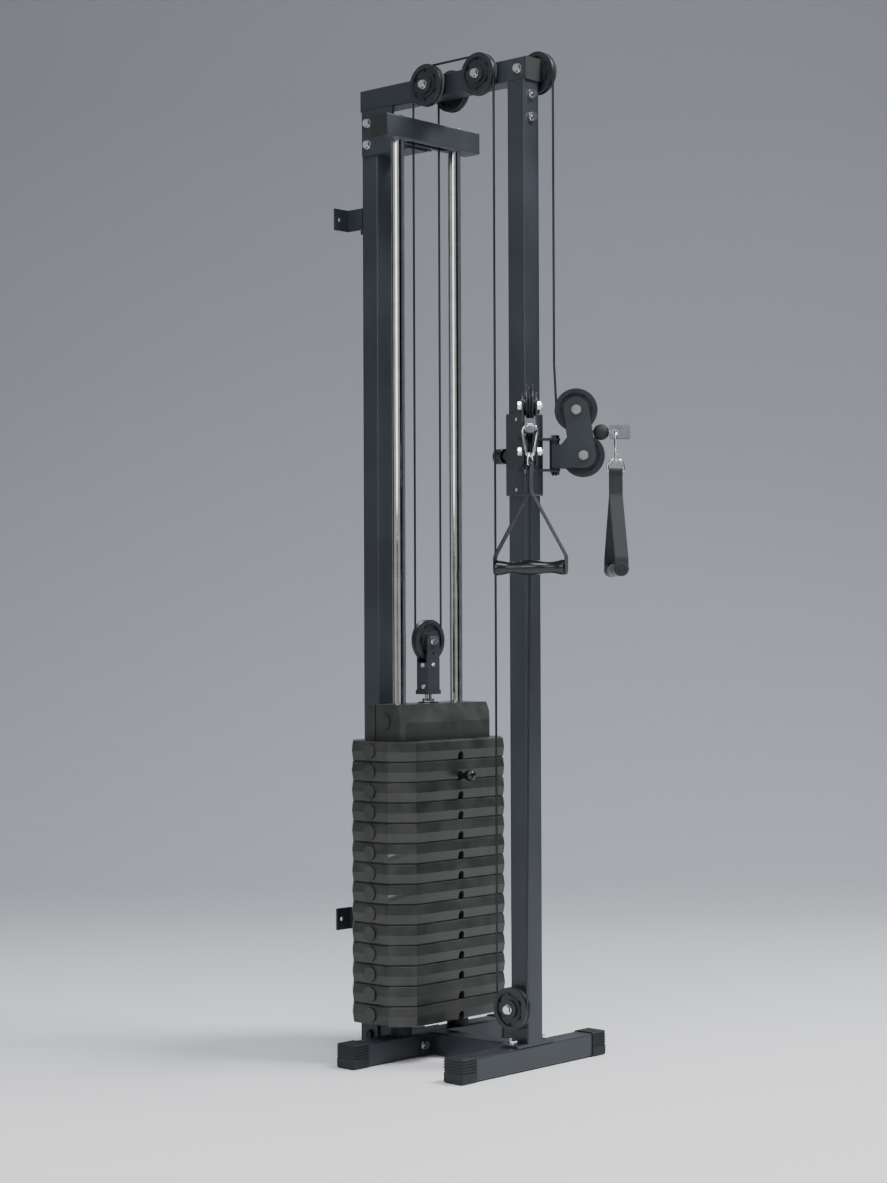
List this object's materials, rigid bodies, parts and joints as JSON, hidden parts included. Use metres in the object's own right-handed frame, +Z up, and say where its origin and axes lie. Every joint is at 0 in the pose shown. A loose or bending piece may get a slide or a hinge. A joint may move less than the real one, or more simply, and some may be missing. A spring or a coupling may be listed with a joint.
{
  "type": "cable machine",
  "caption": "Free-standing cable machine with a selectable weight stack, a height-adjustable carriage, two swivelling pulley heads and hand grips.",
  "frame": {"origin": "middle of the footprint at floor level", "axes": "+Z up, -Y towards the user, who stands in front of the front post; +X to the user's right when facing the machine (+Y)"},
  "size_m": [0.538, 0.7396, 2.232],
  "materials": {
    "powder_coat": "satin",
    "plate_enamel": "satin",
    "chrome": "polished",
    "zinc_steel": "satin",
    "cap_rubber": "matte",
    "pulley_plastic": "satin",
    "cable_coat": "satin",
    "glide_plastic": "satin",
    "knob_plastic": "satin",
    "webbing": "woven",
    "grip_foam": "matte"
  },
  "bodies": {
    "frame": {"front_foot": "powder_coat", "rear_foot": "powder_coat", "base_beams": "powder_coat", "tube_caps": "cap_rubber", "front_post": "powder_coat", "rear_post": "powder_coat", "top_beam": "powder_coat", "crossbeam": "powder_coat", "crossbeam_bracket": "powder_coat", "wall_brackets": "powder_coat", "guide_rods": "chrome", "rod_bumpers": "cap_rubber", "frame_bolts": "chrome", "lower_weight_plates": "plate_enamel", "pulley_axles": "chrome", "frame_cables": "cable_coat", "upper_cable_run": "cable_coat", "lower_cable_run": "cable_coat", "lift_cable": "cable_coat"},
    "stack": {"top_plate": "plate_enamel", "lifted_weight_plates": "plate_enamel", "selector_stem": "chrome", "block_frame": "powder_coat", "block_axle": "chrome"},
    "rear_left_pulley": {"rear_left_pulley": "pulley_plastic"},
    "front_left_pulley": {"front_left_pulley": "pulley_plastic"},
    "rear_right_pulley": {"rear_right_pulley": "pulley_plastic"},
    "front_right_pulley": {"front_right_pulley": "pulley_plastic"},
    "base_pulley": {"base_pulley": "pulley_plastic"},
    "block_pulley": {"block_pulley": "pulley_plastic"},
    "selector_pin": {"selector_pin": "knob_plastic"},
    "carriage": {"carriage_sleeve": "powder_coat", "carriage_glides": "glide_plastic", "hinge_pins": "chrome", "pop_pin_spring": "zinc_steel"},
    "pop_pin": {"pop_pin": "knob_plastic"},
    "right_head": {"right_head_frame": "powder_coat", "right_head_axles": "chrome", "right_head_cable": "cable_coat"},
    "right_upper_wheel": {"right_upper_wheel": "pulley_plastic"},
    "right_lower_wheel": {"right_lower_wheel": "pulley_plastic"},
    "right_cable_end": {"right_cable_stop": "cap_rubber", "right_end_shackle": "zinc_steel"},
    "right_hook": {"right_snap_hook": "chrome"},
    "right_gate": {"right_hook_gate": "chrome"},
    "right_handle": {"right_ring": "chrome", "right_strap": "webbing"},
    "right_grip_body": {"right_grip": "grip_foam"},
    "left_head": {"left_head_frame": "powder_coat", "left_head_axles": "chrome", "left_head_cable": "cable_coat"},
    "left_upper_wheel": {"left_upper_wheel": "pulley_plastic"},
    "left_lower_wheel": {"left_lower_wheel": "pulley_plastic"},
    "left_cable_end": {"left_cable_stop": "cap_rubber", "left_end_shackle": "zinc_steel"},
    "left_hook": {"left_snap_hook": "chrome"},
    "left_gate": {"left_hook_gate": "chrome"},
    "left_handle": {"left_ring": "chrome", "left_strap": "webbing"},
    "left_grip_body": {"left_grip": "grip_foam"}
  },
  "joints": [
    {"name": "stack_lift", "type": "slide", "parent": "frame", "child": "stack", "axis": [0, 0, 1], "range_m": [0, 1], "deforming": ["lift_cable"]},
    {"name": "rear_left_pulley_spin", "type": "hinge", "parent": "frame", "child": "rear_left_pulley", "pos_m": [-0.0425, 0.0935, 2.185], "axis": [1, 0, 0], "continuous": true},
    {"name": "front_left_pulley_spin", "type": "hinge", "parent": "frame", "child": "front_left_pulley", "pos_m": [-0.0425, -0.063, 2.185], "axis": [1, 0, 0], "continuous": true},
    {"name": "rear_right_pulley_spin", "type": "hinge", "parent": "frame", "child": "rear_right_pulley", "pos_m": [0.0425, 0.0935, 2.185], "axis": [1, 0, 0], "continuous": true},
    {"name": "front_right_pulley_spin", "type": "hinge", "parent": "frame", "child": "front_right_pulley", "pos_m": [0.0425, -0.1615, 2.185], "axis": [1, 0, 0], "continuous": true},
    {"name": "base_pulley_spin", "type": "hinge", "parent": "frame", "child": "base_pulley", "pos_m": [-0.0425, -0.148, 0.134], "axis": [1, 0, 0], "continuous": true},
    {"name": "block_pulley_spin", "type": "hinge", "parent": "stack", "child": "block_pulley", "pos_m": [0, 0.136, 0.93358], "axis": [0, 1, 0], "continuous": true},
    {"name": "selector_pin_pull", "type": "slide", "parent": "stack", "child": "selector_pin", "axis": [0, -1, 0], "range_m": [0, 0.105]},
    {"name": "carriage_slide", "type": "slide", "parent": "frame", "child": "carriage", "axis": [0, 0, 1], "range_m": [-0.7, 0.5], "deforming": ["upper_cable_run", "lower_cable_run"]},
    {"name": "pop_pin_pull", "type": "slide", "parent": "carriage", "child": "pop_pin", "axis": [0, 1, 0], "range_m": [0, 0.009], "stiffness_N_per_m": 800, "springref_m": -0.01, "deforming": ["pop_pin_spring"]},
    {"name": "right_head_swivel", "type": "hinge", "parent": "carriage", "child": "right_head", "pos_m": [0.0425, -0.204, 1.34], "axis": [0, 0, 1], "range_deg": [-41, 45]},
    {"name": "right_upper_wheel_spin", "type": "hinge", "parent": "right_head", "child": "right_upper_wheel", "pos_m": [0.07366, -0.23985, 1.438], "axis": [0.7547, 0.6561, 0], "continuous": true},
    {"name": "right_lower_wheel_spin", "type": "hinge", "parent": "right_head", "child": "right_lower_wheel", "pos_m": [0.08383, -0.25155, 1.338], "axis": [0.7547, 0.6561, 0], "continuous": true},
    {"name": "right_pull", "type": "slide", "parent": "right_head", "child": "right_cable_end", "axis": [0.6561, -0.7547, 0], "range_m": [0, 1], "deforming": ["right_head_cable"]},
    {"name": "right_hook_swing", "type": "hinge", "parent": "right_cable_end", "child": "right_hook", "pos_m": [0.13028, -0.30498, 1.38937], "axis": [-0.7547, -0.6561, 0], "range_deg": [0, 50]},
    {"name": "right_gate_open", "type": "hinge", "parent": "right_hook", "child": "right_gate", "pos_m": [0.13742, -0.29877, 1.33982], "axis": [0.6561, -0.7547, 0], "range_deg": [0, 25], "stiffness_Nm_per_rad": 0.03, "springref_deg": -17.19},
    {"name": "right_handle_swing", "type": "hinge", "parent": "right_hook", "child": "right_handle", "pos_m": [0.13028, -0.30498, 1.33027], "axis": [-0.7314, 0.682, 0], "range_deg": [-45, 45]},
    {"name": "right_grip_spin", "type": "hinge", "parent": "right_handle", "child": "right_grip_body", "pos_m": [0.13028, -0.30498, 1.08857], "axis": [0.682, 0.7314, 0], "continuous": true},
    {"name": "left_head_swivel", "type": "hinge", "parent": "carriage", "child": "left_head", "pos_m": [-0.0425, -0.204, 1.34], "axis": [0, 0, 1], "range_deg": [-37, 49]},
    {"name": "left_upper_wheel_spin", "type": "hinge", "parent": "left_head", "child": "left_upper_wheel", "pos_m": [-0.07835, -0.23516, 1.438], "axis": [0.6561, -0.7547, 0], "continuous": true},
    {"name": "left_lower_wheel_spin", "type": "hinge", "parent": "left_head", "child": "left_lower_wheel", "pos_m": [-0.09005, -0.24533, 1.338], "axis": [0.6561, -0.7547, 0], "continuous": true},
    {"name": "left_pull", "type": "slide", "parent": "left_head", "child": "left_cable_end", "axis": [-0.7547, -0.6561, 0], "range_m": [0, 1], "deforming": ["left_head_cable"]},
    {"name": "left_hook_swing", "type": "hinge", "parent": "left_cable_end", "child": "left_hook", "pos_m": [-0.14348, -0.29178, 1.38937], "axis": [-0.6561, 0.7547, 0], "range_deg": [0, 50]},
    {"name": "left_gate_open", "type": "hinge", "parent": "left_hook", "child": "left_gate", "pos_m": [-0.13727, -0.29892, 1.33982], "axis": [-0.7547, -0.6561, 0], "range_deg": [0, 25], "stiffness_Nm_per_rad": 0.03, "springref_deg": -17.19},
    {"name": "left_handle_swing", "type": "hinge", "parent": "left_hook", "child": "left_handle", "pos_m": [-0.14348, -0.29178, 1.33027], "axis": [-0.8988, -0.4384, 0], "range_deg": [-45, 45]},
    {"name": "left_grip_spin", "type": "hinge", "parent": "left_handle", "child": "left_grip_body", "pos_m": [-0.14348, -0.29178, 1.08857], "axis": [0.4384, -0.8988, 0], "continuous": true}
  ],
  "couplings": [
    {"joint": "rear_left_pulley_spin", "follows": "stack_lift", "rad_per_m": 23.529},
    {"joint": "front_left_pulley_spin", "follows": "stack_lift", "rad_per_m": 23.529},
    {"joint": "rear_right_pulley_spin", "follows": "stack_lift", "rad_per_m": 23.529},
    {"joint": "front_right_pulley_spin", "follows": "stack_lift", "rad_per_m": 23.529},
    {"joint": "base_pulley_spin", "follows": "stack_lift", "rad_per_m": -23.529},
    {"joint": "right_upper_wheel_spin", "follows": "stack_lift", "rad_per_m": -23.529},
    {"joint": "right_pull", "follows": "stack_lift", "ratio": 1},
    {"joint": "left_lower_wheel_spin", "follows": "stack_lift", "rad_per_m": 23.529},
    {"joint": "left_pull", "follows": "stack_lift", "ratio": 1}
  ]
}
